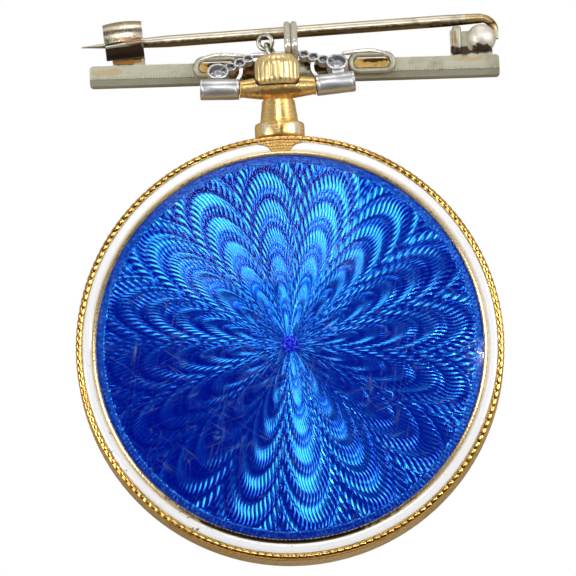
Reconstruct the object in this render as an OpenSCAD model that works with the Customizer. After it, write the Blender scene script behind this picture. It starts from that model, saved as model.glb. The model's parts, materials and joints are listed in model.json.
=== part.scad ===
// Pendant watch with an enamelled back, a hinged diamond bow and a bar brooch, in millimetres.
// The watch lies face down: the glass is on the surface at Z = 0, the enamelled back faces +Z,
// and the winding crown points along +Y. X and Y are zero on the axis of the case.

/* [Case] */
// Diameter of the case at its milled rim
case_d = 30; // [28:0.5:32]
// Height of the rim of the back above the surface
rim_z = 5.75; // [5.4:0.05:6.2]
// Height of the plain middle of the case
middle_h = 3.55; // [3.2:0.05:3.9]
// Wall of the middle of the case
middle_wall = 0.8; // [0.6:0.1:1.0]
// Diameter of the watch glass
glass_d = 24.5; // [23.5:0.1:25]
// Thickness of the watch glass
glass_h = 0.85; // [0.7:0.05:1.0]

/* [Back] */
// Radius of the blue enamel field
blue_r = 13.6; // [12.8:0.1:14]
// Rise of the enamelled back from its edge to its middle
dome_rise = 1.4; // [1:0.1:1.8]
// Width of the gold line between the blue and the white
gold_line_w = 0.26; // [0.2:0.02:0.34]
// Width of the white enamel border
white_w = 0.7; // [0.5:0.05:0.9]
// Thickness of the enamel
enamel_h = 0.35; // [0.25:0.05:0.4]
// Diameter of the raised blue dot in the middle of the back
boss_d = 1.2; // [0.8:0.1:1.6]
// Half the width of the gold point that crosses the white border under the collar
cusp_half_w = 1.55; // [1.45:0.05:1.6]

/* [Pendant] */
// Height of the pendant's axis above the surface
pendant_z = 4.1; // [4:0.05:4.2]
// Distance of the bow's hinge axis from the case's axis
hinge_y = 18.7; // [18.4:0.1:19]
// Radius of the barrel at its middle
barrel_r = 0.88; // [0.8:0.02:0.95]
// Radius of the barrel at its ends
barrel_end_r = 0.6; // [0.55:0.01:0.68]
// Length of the barrel
barrel_len = 5.28; // [5:0.02:5.5]
// Radius of the collar at the foot of the neck
collar_r = 1.72; // [1.6:0.02:1.74]
// Radius of the neck at the barrel
neck_top_r = 1.15; // [1:0.05:1.25]
// Radius of the neck at the collar
neck_foot_r = 1.36; // [1.25:0.01:1.5]

/* [Crown] */
// Diameter of the crown over its ribs
crown_d = 3.16; // [3:0.02:3.2]
// Length of the crown
crown_len = 2.1; // [1.9:0.05:2.15]
// Number of ribs round the crown
crown_ribs = 20; // [16:1:24]
// Radius of the winding stem
stem_r = 0.33; // [0.28:0.01:0.35]

/* [Bow] */
// Slope of the bow below the level of its hinge
bow_drop = 37; // [36:0.5:38]
// Radius of the two knuckle tubes
knuckle_r = 0.72; // [0.66:0.01:0.74]
// Length of each knuckle tube
knuckle_len = 2.7; // [2.5:0.05:2.8]
// Upward lean of the left knuckle tube
left_lean = 2.7; // [0:0.1:5]
// Upward lean of the right knuckle tube
right_lean = 6.2; // [0:0.1:7]
// Turn of the diamond arms in the bow's own plane
bow_skew = 3; // [0:0.5:3]
// Distance of the bow's top bar from the hinge axis
bar_reach = 3.35; // [3.3:0.01:3.4]
// Radius of the bow's top bar
bow_wire_r = 0.18; // [0.16:0.01:0.19]
// Radius of a main diamond
main_stone_r = 0.62; // [0.55:0.01:0.66]

/* [Bail] */
// Middle of the bail along X
bail_x = 1.08; // [1.06:0.01:1.12]
// Width of the bail
bail_w = 0.94; // [0.8:0.02:0.96]
// Thickness of the bail's sheet
bail_sheet = 0.25; // [0.2:0.01:0.26]

/* [Brooch] */
// Length of the bar
bar_len = 28.9; // [28:0.1:29.2]
// Thickness of the bar from its front to its back
bar_t = 1.4; // [1.2:0.05:1.45]
// Width of the bar, which stands on its long edge
bar_w = 1.75; // [1.6:0.05:1.76]
// Turn of the brooch on the surface, seen from above
brooch_turn = -1; // [-1.5:0.1:-0.5]
// Radius of the pin stem
pin_r = 0.42; // [0.36:0.01:0.43]
// Height of the pin stem's axis above the surface
pin_z = 1.05; // [1:0.01:1.08]
// Radius of the ball over the hinge of the pin
ball_r = 0.98; // [0.9:0.01:1.02]
// Radius of the wire of the two oval loops
loop_wire_r = 0.21; // [0.19:0.005:0.22]

/* [Hidden] */
eps = 0.01;
fine = 64;
dome_fn = 240;

case_r = case_d / 2;
middle_top_z = rim_z - 0.25;
middle_foot_z = middle_top_z - middle_h;
middle_bore_r = case_r - middle_wall;
glass_r = glass_d / 2;
seat_gap = 0.05;
shelf_r = glass_r - 0.4;
bezel_top_z = middle_foot_z - 0.03;

// The flange inside the middle that carries the movement, and what sits on it
flange_z = 2.6;
flange_h = 0.6;
flange_bore_r = 12.35;
movement_r = 12.25;
movement_h = 2.4;
movement_lip_r = 12.9;
movement_lip_h = 0.5;
dial_r = 12.2;
dial_h = 0.35;
dial_z = 2.2;
post_r = 0.27;
post_foot_z = 1.15;
hand_bore_r = post_r + 0.05;
hand_h = 0.16;
hour_hand_z = 1.8;
minute_hand_z = 1.42;
minute_angle = -50;
hour_angle = 30 + (360 + minute_angle) / 12;
hour_reach = 7.2;
minute_reach = 10.7;

// The back: a dome that carries the blue field, a gold line, a white border and a rim
line_r = blue_r + gold_line_w;
white_out_r = line_r + white_w;
rim_wire_r = 0.2;
rim_wire_c = case_r - rim_wire_r - 0.02;
dome_edge_z = rim_z + 0.38;
dome_r = (blue_r * blue_r + dome_rise * dome_rise) / (2 * dome_rise);
dome_c_z = dome_edge_z + dome_rise - dome_r;
enamel_gap = 0.02;
cover_wall = 0.4;
cover_foot_z = middle_top_z + 0.02;
white_floor_z = rim_z - 0.05;
white_top_z = rim_z + 0.24;
boss_rise = 0.28;
boss_r = (boss_d * boss_d / 4 + boss_rise * boss_rise) / (2 * boss_rise);
bay_r = 1.26;

// The pendant: collar, neck and barrel stand on the case along +Y
pendant_foot_y = middle_bore_r + 0.15;
pendant_foot_r = 1.34;
collar_y = 15.08;
collar_len = 1;
neck_len = 1.62;
crown_seat_y = 18.75;
crown_seat_r = crown_d / 2 + 0.1;
pivot_r = 0.35;
pivot_len = 1;
sleeve_bore_r = 0.6;
sleeve_r = 0.55;
sleeve_foot_y = 14.6;
sleeve_top_y = 18.5;
crown_foot_y = 18.85;
stem_end_y = 10.4;
stem_bore_r = stem_r + 0.06;
rib_r = crown_d / 2 * sin(180 / crown_ribs) * 0.86;

// The bow lies in a plane through the hinge axis; its own Y runs from the hinge to the top bar
knuckle_x = barrel_len / 2 + 0.08;
knuckle_bore_r = pivot_r + 0.05;
knuckle_bore_len = pivot_len + 0.12;
collet_at = [4.2, 1.78];
collet_r = 0.76;
collet_h = 0.7;
arm_stones = [[3.28, 2.26, 0.3], [2.6, 2.6, 0.3], [1.98, 2.94, 0.27]]; // x, y, radius
arm_turn_y = 2.8;
stone_wall = 0.1;
stone_seat = 0.8;
girdle_z = -0.08;
arm_h = 0.44;
web_x = 4.3;
web_w = 0.8;
strip_bend_r = 1.5;
strip_w = 0.24;
bar_half = 1.7;

// The bail is a closed strip round the pin and the bow's bar, drawn in the plane of Y and Z
pin_angle = atan2(0.68, 25.85);
pin_far = [12.2, 23.35];
bail_pin_r = 0.5;
bail_bar_r = 0.27;
bail_low = [21.42, 2.13];
bail_high = [21.86, 2.88];

// The two jump rings: an oval link round the bow's bar, and a ring through the link
link_at = [-0.346, 21.57, 2.062];
link_turn = -61.9;
link_lean = 21.5;
link_c_r = 0.425;
link_wire_r = 0.14;
link_straight = 0.436;
oval_c_r = 0.5;
oval_wire_r = 0.165;
oval_shift = -0.793;

// The brooch: a bar on its long edge, the catch at the left and the hinge of the pin at the right
bar_at = [1.25, 20.25];
bar_bevel = 0.45;
bar_bevel_drop = 0.14;
bar_corner_r = 0.28;
rivet_at = [14.5, 21.9];
rivet_r = 0.25;
eye_r = 0.78;
eye_h = 0.56;
eye_bore_r = rivet_r + 0.05;
ear_gap = 0.1;
bend_r = 0.95;
bend_wire_r = 0.3;
ear_h = 0.3;
loop_len = 3.4;
loop_w = 1.6;
loop_offset = 5.45;
loop_y = 20.6;
loop_z = bar_w + loop_wire_r - 0.08;
backing_h = 0.12;
catch_x = -10.7;
catch_len = 2.7;
catch_wall = 0.3;
catch_turn = 4;
catch_c = [23.05, 0.95];
catch_r = 1.25;
catch_mouth_z = 1.52;
catch_foot_z = 0.4;

// A ring of square section
module ring(r_in, r_out, h) {
  difference() {
    cylinder(r = r_out, h = h, $fn = fine * 2);
    translate([0, 0, -1]) cylinder(r = r_in, h = h + 2, $fn = fine * 2);
  }
}

// A cylinder whose axis runs along +Y from y0
module rod_y(y0, r1, r2, len) {
  translate([0, y0, pendant_z]) rotate([-90, 0, 0]) cylinder(r1 = r1, r2 = r2, h = len, $fn = fine);
}

// A closed oval of round wire in the plane of X and Y, long along X
module oval_wire(straight, c_r, wire_r) {
  for (side = [0, 180]) rotate([0, 0, side]) {
    translate([straight / 2, 0, 0]) rotate([0, 0, -90])
      rotate_extrude(angle = 180, $fn = fine) translate([c_r, 0]) circle(r = wire_r, $fn = 32);
    translate([-straight / 2, c_r, 0]) rotate([0, 90, 0])
      cylinder(r = wire_r, h = straight, $fn = 32);
  }
}

// A flat shape with straight sides and round ends, long along X
module stadium(len, w) {
  square([len - w, w], center = true);
  for (side = [-1, 1]) translate([side * (len - w) / 2, 0]) circle(d = w, $fn = fine);
}

// A cut stone with its table down and its point up, and a girdle of the given radius
module cut_stone(r) {
  hull() {
    rotate([0, 0, 22.5]) translate([0, 0, -0.36 * r]) cylinder(r = 0.56 * r, h = eps, $fn = 8);
    cylinder(r = r, h = 0.06 * r, $fn = 16);
    translate([0, 0, 0.4 * r]) cylinder(r = 0.58 * r, h = eps, $fn = 8);
    translate([0, 0, 0.7 * r]) cylinder(r = 0.09 * r, h = eps, $fn = 8);
  }
}

// The case: middle with its pendant, bezel, glass and what is inside
module barrel() {
  rotate([0, 90, 0]) rotate_extrude($fn = fine) barrel_profile();
}

module barrel_profile() {
  half = barrel_len / 2;
  polygon([
    [0, -half], [barrel_end_r - 0.06, -half], [barrel_end_r, -half + 0.06],
    [barrel_r - 0.1, -half * 0.5], [barrel_r, -half * 0.18], [barrel_r, half * 0.18],
    [barrel_r - 0.1, half * 0.5], [barrel_end_r, half - 0.06], [barrel_end_r - 0.06, half], [0, half]
  ]);
}

module pendant_body() {
  rod_y(pendant_foot_y, pendant_foot_r, pendant_foot_r, collar_y - pendant_foot_y + eps);
  rod_y(collar_y, collar_r - 0.15, collar_r, 0.15);
  rod_y(collar_y + 0.15, collar_r, collar_r, collar_len - 0.35);
  rod_y(collar_y + collar_len - 0.2, collar_r, collar_r - 0.2, 0.2);
  rod_y(collar_y + collar_len, neck_foot_r, neck_top_r, neck_len);
  rod_y(collar_y + collar_len + neck_len, neck_top_r, barrel_r * 0.9, 0.4);
  translate([0, hinge_y, pendant_z]) {
    barrel();
    for (side = [-1, 1]) rotate([0, side * 90, 0])
      cylinder(r = pivot_r, h = barrel_len / 2 + pivot_len, $fn = fine);
  }
}

module case_middle() color("goldenrod") {
  difference() {
    union() {
      translate([0, 0, middle_foot_z]) ring(middle_bore_r, case_r - 0.12, middle_h);
      translate([0, 0, middle_foot_z + 0.3]) ring(middle_bore_r, case_r, middle_h - 0.6);
      translate([0, 0, flange_z]) ring(flange_bore_r, middle_bore_r + eps, flange_h);
      pendant_body();
    }
    rod_y(middle_bore_r - 1, sleeve_bore_r, sleeve_bore_r, 6);
    rod_y(crown_seat_y, crown_seat_r, crown_seat_r, 3);
  }
}

module front_bezel() color("goldenrod")
  rotate_extrude($fn = fine * 2) polygon([
    [shelf_r, glass_h + seat_gap], [shelf_r, bezel_top_z - 0.2], [middle_bore_r - 0.4, bezel_top_z],
    [case_r - 0.08, bezel_top_z], [case_r - 0.1, 1.5], [case_r - 0.38, 1.05],
    [case_r - 0.95, 0.64], [case_r - 1.7, 0.4], [case_r - 2.3, 0.34],
    [glass_r + seat_gap, 0.42], [glass_r + seat_gap, glass_h + seat_gap]
  ]);

module watch_glass() color("lightcyan")
  rotate_extrude($fn = fine * 2) polygon([
    [0, 0], [glass_r - 0.3, 0], [glass_r, 0.18], [glass_r, glass_h], [0, glass_h]
  ]);

module movement() color("silver")
  difference() {
    union() {
      translate([0, 0, flange_z]) cylinder(r = movement_r, h = movement_h, $fn = fine * 2);
      translate([0, 0, flange_z + flange_h + 0.02])
        cylinder(r = movement_lip_r, h = movement_lip_h, $fn = fine * 2);
      translate([0, 0, post_foot_z]) cylinder(r = post_r, h = flange_z - post_foot_z + eps, $fn = fine);
    }
    rod_y(stem_end_y - 0.4, stem_bore_r, stem_bore_r, 4);
  }

module dial() color("ivory")
  translate([0, 0, dial_z]) ring(post_r + 0.2, dial_r, dial_h);

// A hand with a ring near its tip, pointing along +Y
module hand_outline(reach, ring_r, hub_r) {
  ring_y = reach * 0.76;
  difference() {
    union() {
      circle(r = hub_r, $fn = fine);
      polygon([[-0.3, 0], [0.3, 0], [0.14, ring_y - ring_r + 0.05], [-0.14, ring_y - ring_r + 0.05]]);
      translate([0, ring_y]) circle(r = ring_r, $fn = fine);
      polygon([[-0.2, ring_y + ring_r - 0.1], [0.2, ring_y + ring_r - 0.1], [0.03, reach], [-0.03, reach]]);
    }
    circle(r = hand_bore_r, $fn = fine);
    translate([0, ring_y]) circle(r = ring_r - 0.18, $fn = fine);
  }
}

module hour_hand() color("midnightblue")
  translate([0, 0, hour_hand_z]) rotate([0, 0, hour_angle])
    linear_extrude(height = hand_h) hand_outline(hour_reach, 0.62, 0.66);

module minute_hand() color("midnightblue")
  translate([0, 0, minute_hand_z]) rotate([0, 0, minute_angle])
    linear_extrude(height = hand_h) hand_outline(minute_reach, 0.5, 0.58);

// The enamelled back: what lies under the sphere of the dome, lowered by drop
module under_dome(r, foot_z, drop) {
  intersection() {
    translate([0, 0, foot_z]) cylinder(r = r, h = 4, $fn = fine * 2);
    rotate_extrude($fn = fine * 2) intersection() {
      translate([0, dome_c_z - drop]) circle(r = dome_r, $fn = dome_fn * 4);
      square([r + 1, 20]);
    }
  }
}

// The gold point under the collar: a block between two round bays
module cusp(grow, h) {
  bay_x = cusp_half_w + 0.1;
  bay_y = white_out_r - bay_r - 0.1;
  translate([0, 0, white_floor_z - 0.1]) intersection() {
    ring(line_r - 0.1, white_out_r + 0.1, h);
    linear_extrude(height = h) difference() {
      translate([-cusp_half_w, line_r - 0.3]) square([2 * cusp_half_w, 1.4]);
      for (side = [-1, 1]) translate([side * bay_x, bay_y]) circle(r = bay_r - grow, $fn = fine);
    }
  }
}

module back_cover() color("goldenrod") {
  floor_drop = enamel_h + enamel_gap;
  difference() {
    union() {
      under_dome(blue_r + eps, cover_foot_z, floor_drop);
      translate([0, 0, cover_foot_z])
        cylinder(r = case_r - 0.1, h = white_floor_z - cover_foot_z, $fn = fine * 2);
      translate([0, 0, cover_foot_z]) ring(blue_r, line_r, dome_edge_z + 0.02 - cover_foot_z);
      translate([0, 0, cover_foot_z]) ring(white_out_r, case_r - 0.12, white_top_z - cover_foot_z);
      translate([0, 0, rim_z]) rotate_extrude($fn = fine * 2)
        translate([rim_wire_c, 0]) circle(r = rim_wire_r, $fn = 32);
      cusp(0, white_top_z + 0.06 - white_floor_z + 0.1);
    }
    under_dome(blue_r - 1.2, cover_foot_z - 1, floor_drop + cover_wall);
  }
}

module white_enamel() color("white")
  difference() {
    rotate_extrude($fn = fine * 2) polygon([
      [line_r + enamel_gap, white_floor_z + enamel_gap],
      [white_out_r - enamel_gap, white_floor_z + enamel_gap],
      [white_out_r - enamel_gap, white_top_z - 0.03], [white_out_r - 0.2, white_top_z + 0.04],
      [line_r + 0.22, white_top_z + 0.08], [line_r + enamel_gap, white_top_z + 0.04]
    ]);
    cusp(enamel_gap * 2, 1);
  }

module blue_enamel() color("mediumblue") {
  difference() {
    under_dome(blue_r - enamel_gap, cover_foot_z - 1, 0);
    under_dome(blue_r, cover_foot_z - 2, enamel_h);
  }
  translate([0, 0, dome_edge_z + dome_rise - 0.02]) intersection() {
    translate([0, 0, boss_rise - boss_r]) sphere(r = boss_r, $fn = fine);
    cylinder(r = boss_d / 2, h = 1, $fn = fine);
  }
}

// The crown and what turns with it
module winding_sleeve() color("silver")
  difference() {
    rod_y(sleeve_foot_y, sleeve_r, sleeve_r, sleeve_top_y - sleeve_foot_y);
    rod_y(sleeve_foot_y - 1, stem_bore_r, stem_bore_r, 6);
  }

module crown() color("gold") {
  core_r = crown_d / 2 - rib_r * 0.75;
  chamfer = 0.3;
  intersection() {
    union() {
      rod_y(crown_foot_y, core_r, core_r, crown_len);
      for (i = [0 : crown_ribs - 1]) translate([0, crown_foot_y, pendant_z])
        rotate([-90, 0, 0]) rotate([0, 0, i * 360 / crown_ribs])
          translate([crown_d / 2 - rib_r, 0, 0]) cylinder(r = rib_r, h = crown_len, $fn = 24);
    }
    translate([0, crown_foot_y, pendant_z]) rotate([-90, 0, 0]) rotate_extrude($fn = fine) polygon([
      [0, 0], [crown_d / 2 - 0.16, 0], [crown_d / 2, 0.2], [crown_d / 2, crown_len - chamfer],
      [crown_d / 2 - chamfer, crown_len], [0, crown_len]
    ]);
  }
  rod_y(stem_end_y, stem_r, stem_r, crown_foot_y - stem_end_y + eps);
}

// Puts what is drawn in the bow's own plane where the bow rests
module in_bow_plane() {
  translate([0, hinge_y, pendant_z]) rotate([-bow_drop, 0, 0]) children();
}

// Puts what is drawn for the right side on either side, turned with the arms
module on_arm(side) {
  translate([0, arm_turn_y, 0]) rotate([0, 0, bow_skew]) translate([0, -arm_turn_y, 0])
    scale([side, 1, 1]) children();
}

// Where a point of the right arm lies in the bow's plane, on either side
function arm_at(side, p) = [
  side * p[0] * cos(bow_skew) - (p[1] - arm_turn_y) * sin(bow_skew),
  arm_turn_y + side * p[0] * sin(bow_skew) + (p[1] - arm_turn_y) * cos(bow_skew),
  0
];

module knuckle(side) {
  lean = side < 0 ? left_lean : right_lean;
  scale([side, 1, 1]) difference() {
    translate([knuckle_x, 0, 0]) rotate([0, 0, lean]) rotate([0, 90, 0])
      cylinder(r = knuckle_r, h = knuckle_len, $fn = fine);
    translate([knuckle_x - 1, -2, -2]) cube([1 + eps, 4, 4]);
    translate([knuckle_x - 1, 0, 0]) rotate([0, 90, 0])
      cylinder(r = knuckle_bore_r, h = 1 + knuckle_bore_len, $fn = fine);
    translate([knuckle_x, 0, 0]) rotate([0, 0, lean]) rotate([0, 90, 0])
      translate([0, 0, knuckle_len - 0.3]) cylinder(r = knuckle_r - 0.2, h = 1, $fn = fine);
  }
}

// The settings of one arm, before the stones are let in
module arm() {
  translate([collet_at[0], collet_at[1], -collet_h / 2])
    cylinder(r = collet_r, h = collet_h, $fn = fine);
  for (stone = arm_stones) translate([stone[0], stone[1], -arm_h / 2])
    cylinder(r = stone[2] + stone_wall, h = arm_h, $fn = fine);
  for (i = [0 : len(arm_stones) - 1]) {
    here = i == 0 ? collet_at : arm_stones[i - 1];
    next = arm_stones[i];
    link = [next[0] - here[0], next[1] - here[1]];
    translate([here[0], here[1], -arm_h / 2]) rotate([0, 0, atan2(link[1], link[0])])
      translate([0, -0.2, 0]) cube([norm(link), 0.4, arm_h]);
  }
}

// A square strip bent to an arc from p to q that bulges to the left for side 1
module bent_strip(p, q, side) {
  chord = norm(q - p);
  half = asin(chord / 2 / strip_bend_r);
  translate(p) rotate([0, 0, atan2(q[1] - p[1], q[0] - p[0])])
    translate([chord / 2, -side * strip_bend_r * cos(half), 0]) rotate([0, 0, side * 90 - half])
      rotate_extrude(angle = 2 * half, $fn = fine)
        translate([strip_bend_r - strip_w / 2, -strip_w / 2]) square([strip_w, strip_w]);
}

// What joins an arm to its knuckle, the curved inner wire, and the post up to the top bar
module arm_root(side) {
  rise = tan(side < 0 ? left_lean : right_lean);
  web_foot_y = 0.5 + rise * (web_x - knuckle_x);
  web_top_y = arm_at(side, collet_at)[1] - main_stone_r - 0.04;
  translate([side * web_x - web_w / 2, web_foot_y, -0.25]) cube([web_w, web_top_y - web_foot_y, 0.5]);
  bent_strip([side * 3.1, 0.6, 0], arm_at(side, [2.58, 2.24]), side);
  last = arm_at(side, arm_stones[2]);
  post_foot_y = last[1] + arm_stones[2][2] + 0.02;
  translate([side > 0 ? last[0] - 0.35 : last[0] - 0.1, post_foot_y, -0.15])
    cube([0.45, bar_reach + 0.13 - post_foot_y, 0.3]);
}

// The open seat of a stone: a hole, with a ledge under the girdle
module stone_hole(at, r) {
  translate([at[0], at[1], -1]) cylinder(r = stone_seat * r, h = 2, $fn = fine);
  translate([at[0], at[1], girdle_z - 0.2 * r]) cylinder(r = r + 0.015, h = 1, $fn = fine);
}

module bow() color("lightsteelblue") in_bow_plane() {
  for (side = [-1, 1]) knuckle(side);
  difference() {
    union() {
      for (side = [-1, 1]) {
        on_arm(side) arm();
        arm_root(side);
      }
      translate([-bar_half, bar_reach, 0]) rotate([0, 90, 0])
        cylinder(r = bow_wire_r, h = 2 * bar_half, $fn = fine);
    }
    for (side = [-1, 1]) on_arm(side) {
      stone_hole(collet_at, main_stone_r);
      for (stone = arm_stones) stone_hole(stone, stone[2]);
    }
  }
}

module main_diamond(side) color("white") in_bow_plane() on_arm(side)
  translate([collet_at[0], collet_at[1], girdle_z]) cut_stone(main_stone_r);

module main_diamond_left() main_diamond(-1);

module main_diamond_right() main_diamond(1);

module small_diamonds() color("white") in_bow_plane()
  for (side = [-1, 1], stone = arm_stones) on_arm(side)
    translate([stone[0], stone[1], girdle_z]) cut_stone(stone[2]);

// The bail, and the two rings on the bow's bar
function pin_y(x) = pin_far[1] + (x - pin_far[0]) * tan(pin_angle);

module bail_loop(grow) {
  hull() {
    translate([pin_y(bail_x), pin_z]) circle(r = bail_pin_r + grow, $fn = 48);
    translate(bail_low) circle(r = bail_bar_r + grow, $fn = 48);
    translate(bail_high) circle(r = bail_bar_r + grow, $fn = 48);
  }
}

module bail() color("silver")
  translate([bail_x - bail_w / 2, 0, 0]) rotate([90, 0, 90]) linear_extrude(height = bail_w)
    difference() {
      bail_loop(bail_sheet);
      bail_loop(0);
    }

module at_link() {
  translate(link_at) rotate([0, 0, link_turn]) rotate([link_lean, 0, 0]) children();
}

module jump_ring_link() color("silver") at_link()
  rotate([90, 0, 0]) oval_wire(link_straight, link_c_r, link_wire_r);

module jump_ring_oval() color("silver") at_link()
  translate([oval_shift, 0, 0]) rotate_extrude($fn = fine)
    translate([oval_c_r, 0]) circle(r = oval_wire_r, $fn = 32);

// The brooch
module brooch_pin() color("silver") {
  straight_len = 19.8;
  taper_len = 3.2;
  tip_len = 2.9;
  catch_pin_r = 0.28;
  bend_y = pin_y(rivet_at[0]) - bend_r;
  translate([pin_far[0], pin_far[1], pin_z]) rotate([0, 0, pin_angle]) {
    rotate([0, -90, 0]) {
      cylinder(r = pin_r, h = straight_len, $fn = fine);
      translate([0, 0, straight_len]) cylinder(r1 = pin_r, r2 = catch_pin_r, h = taper_len, $fn = fine);
      translate([0, 0, straight_len + taper_len])
        cylinder(r1 = catch_pin_r, r2 = 0.05, h = tip_len, $fn = fine);
    }
    rotate([0, 90, 0])
      cylinder(r1 = pin_r, r2 = bend_wire_r + 0.04, h = rivet_at[0] - pin_far[0] + 0.1, $fn = fine);
  }
  translate([0, 0, pin_z]) {
    translate([rivet_at[0], bend_y, 0])
      rotate_extrude(angle = 90, $fn = fine) translate([bend_r, 0]) circle(r = bend_wire_r, $fn = fine);
    difference() {
      union() {
        translate([rivet_at[0], rivet_at[1], -eye_h / 2]) cylinder(r = eye_r, h = eye_h, $fn = fine);
        translate([rivet_at[0], rivet_at[1], -eye_h / 2])
          cube([bend_r + 0.26, bend_y - rivet_at[1] + 0.08, eye_h]);
      }
      translate([rivet_at[0], rivet_at[1], -1]) cylinder(r = eye_bore_r, h = 2, $fn = fine);
    }
  }
}

// A flat plate with rounded corners, long along X
module round_plate(len, w, r) {
  square([len - 2 * r, w], center = true);
  square([len, w - 2 * r], center = true);
  for (x = [-1, 1], y = [-1, 1]) translate([x * (len / 2 - r), y * (w / 2 - r)])
    circle(r = r, $fn = fine);
}

// A section of the bar, from its front at the left to its back at the right
module bar_section() {
  polygon([
    [-bar_t / 2, bar_bevel_drop], [-bar_t / 2 + bar_bevel, 0], [bar_t / 2, 0],
    [bar_t / 2, bar_w], [-bar_t / 2 + bar_bevel, bar_w], [-bar_t / 2, bar_w - bar_bevel_drop]
  ]);
}

// The catch: a foot out of the bar that curls over the pin and stays open at its far side
module catch_section() {
  difference() {
    translate(catch_c) circle(r = catch_r, $fn = fine);
    translate(catch_c) circle(r = catch_r - catch_wall, $fn = fine);
    translate([catch_c[0] - catch_r - 1, catch_c[1] - 3]) square([2 * catch_r + 2, 3]);
    translate([catch_c[0], catch_c[1] - 3]) square([catch_r + 1, catch_mouth_z - catch_c[1] + 3]);
  }
  translate([catch_c[0] - catch_r, catch_foot_z]) square([catch_wall, catch_c[1] - catch_foot_z + eps]);
}

module catch_foot() {
  foot_y = bar_at[1] + 0.4;
  translate([foot_y, catch_foot_z]) square([catch_c[0] - catch_r - foot_y + catch_wall, catch_wall]);
}

module catch_hook() {
  translate([catch_x, catch_c[0], 0]) rotate([0, 0, catch_turn]) translate([0, -catch_c[0], 0])
    rotate([90, 0, 90]) {
      translate([0, 0, -catch_len / 2]) linear_extrude(height = catch_len) catch_section();
      translate([0, 0, 0.4 - catch_len / 2]) linear_extrude(height = catch_len - 0.4) catch_foot();
    }
}

module hinge_ears() {
  low = pin_z - eye_h / 2 - ear_gap - ear_h;
  high = pin_z + eye_h / 2 + ear_gap;
  post_y = bar_at[1] - 0.1;
  post_x = rivet_at[0] - 2.2;
  ear_len = 2.3;
  for (z = [low, high]) {
    translate([rivet_at[0], rivet_at[1], z]) cylinder(r = ball_r - 0.06, h = ear_h, $fn = fine);
    translate([post_x, post_y, z]) cube([rivet_at[0] + 0.75 - post_x, ear_len, ear_h]);
  }
  translate([rivet_at[0], rivet_at[1], low]) cylinder(r = rivet_r, h = high - low + eps, $fn = fine);
  translate([rivet_at[0], rivet_at[1], high]) intersection() {
    sphere(r = ball_r, $fn = fine);
    translate([0, 0, ear_h / 2]) cylinder(r = ball_r, h = 2, $fn = fine);
  }
  translate([post_x, post_y, low]) cube([0.62, ear_len + 0.1, high + ear_h - low]);
}

module at_brooch_bar() {
  translate([bar_at[0], bar_at[1], 0]) rotate([0, 0, brooch_turn]) children();
}

module brooch_frame() color("darkkhaki") {
  at_brooch_bar() {
    intersection() {
      translate([-bar_len / 2, 0, 0]) rotate([90, 0, 90])
        linear_extrude(height = bar_len) bar_section();
      linear_extrude(height = bar_w) round_plate(bar_len, bar_t, bar_corner_r);
    }
    for (side = [-1, 1]) translate([side * loop_offset, loop_y - bar_at[1], loop_z])
      oval_wire(loop_len - loop_w, loop_w / 2 - loop_wire_r, loop_wire_r);
  }
  catch_hook();
  hinge_ears();
}

module loop_backing(side) color("goldenrod") at_brooch_bar() {
  inner_w = loop_w - 4 * loop_wire_r - 0.1;
  translate([side * loop_offset, loop_y - bar_at[1], bar_w + 0.02])
    linear_extrude(height = backing_h) stadium(loop_len - loop_w + inner_w, inner_w);
}

module loop_backing_left() loop_backing(-1);

module loop_backing_right() loop_backing(1);

case_middle();
front_bezel();
watch_glass();
dial();
movement();
hour_hand();
minute_hand();
back_cover();
white_enamel();
blue_enamel();
winding_sleeve();
crown();
bow();
main_diamond_left();
main_diamond_right();
small_diamonds();
bail();
jump_ring_oval();
jump_ring_link();
brooch_pin();
brooch_frame();
loop_backing_left();
loop_backing_right();
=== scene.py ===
import json
import math

import bmesh
import bpy
from mathutils import Matrix, Vector


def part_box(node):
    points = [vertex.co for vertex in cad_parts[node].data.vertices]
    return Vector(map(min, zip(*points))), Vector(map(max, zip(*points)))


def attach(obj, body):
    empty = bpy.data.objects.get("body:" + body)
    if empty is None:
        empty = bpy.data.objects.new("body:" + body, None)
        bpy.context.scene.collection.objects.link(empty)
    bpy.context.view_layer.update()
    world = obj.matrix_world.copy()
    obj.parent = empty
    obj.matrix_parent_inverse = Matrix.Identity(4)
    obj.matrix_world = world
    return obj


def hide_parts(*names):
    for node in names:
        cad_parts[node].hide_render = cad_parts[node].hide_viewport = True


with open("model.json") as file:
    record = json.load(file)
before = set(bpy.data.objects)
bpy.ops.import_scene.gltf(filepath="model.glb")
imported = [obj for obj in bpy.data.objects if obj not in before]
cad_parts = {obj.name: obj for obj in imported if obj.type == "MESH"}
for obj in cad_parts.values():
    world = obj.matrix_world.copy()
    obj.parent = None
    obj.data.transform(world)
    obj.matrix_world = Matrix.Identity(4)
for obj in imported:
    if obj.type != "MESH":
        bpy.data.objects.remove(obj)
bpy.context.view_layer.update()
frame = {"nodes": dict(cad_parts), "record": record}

# All sizes below are in millimetres and all angles in radians, unless a name says otherwise
MM = 0.001
FULL_TURN = 2 * math.pi


def node_box(node):
    """The lowest and the highest corner of a CAD node in millimetres."""
    low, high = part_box(node)
    return Vector(low) / MM, Vector(high) / MM


def joint_place(name):
    """Where a joint of the record sits, in millimetres."""
    joint = next(j for j in frame["record"]["behaviour"]["joints"] if j["name"] == name)
    return Vector(joint["pos_m"]) / MM


# The case and its enamelled back
CASE_R = node_box("case_middle")[1].x
BLUE_R = node_box("blue_enamel")[1].x + 0.02
DOME_RISE = 1.4
DOME_R = (BLUE_R ** 2 + DOME_RISE ** 2) / (2 * DOME_RISE)
BOSS_H = 0.26
DOME_EDGE_Z = node_box("blue_enamel")[1].z - BOSS_H - DOME_RISE
LINE_W = 0.26
LINE_TOOTH = 0.055
RIM_Z = 5.75

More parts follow.
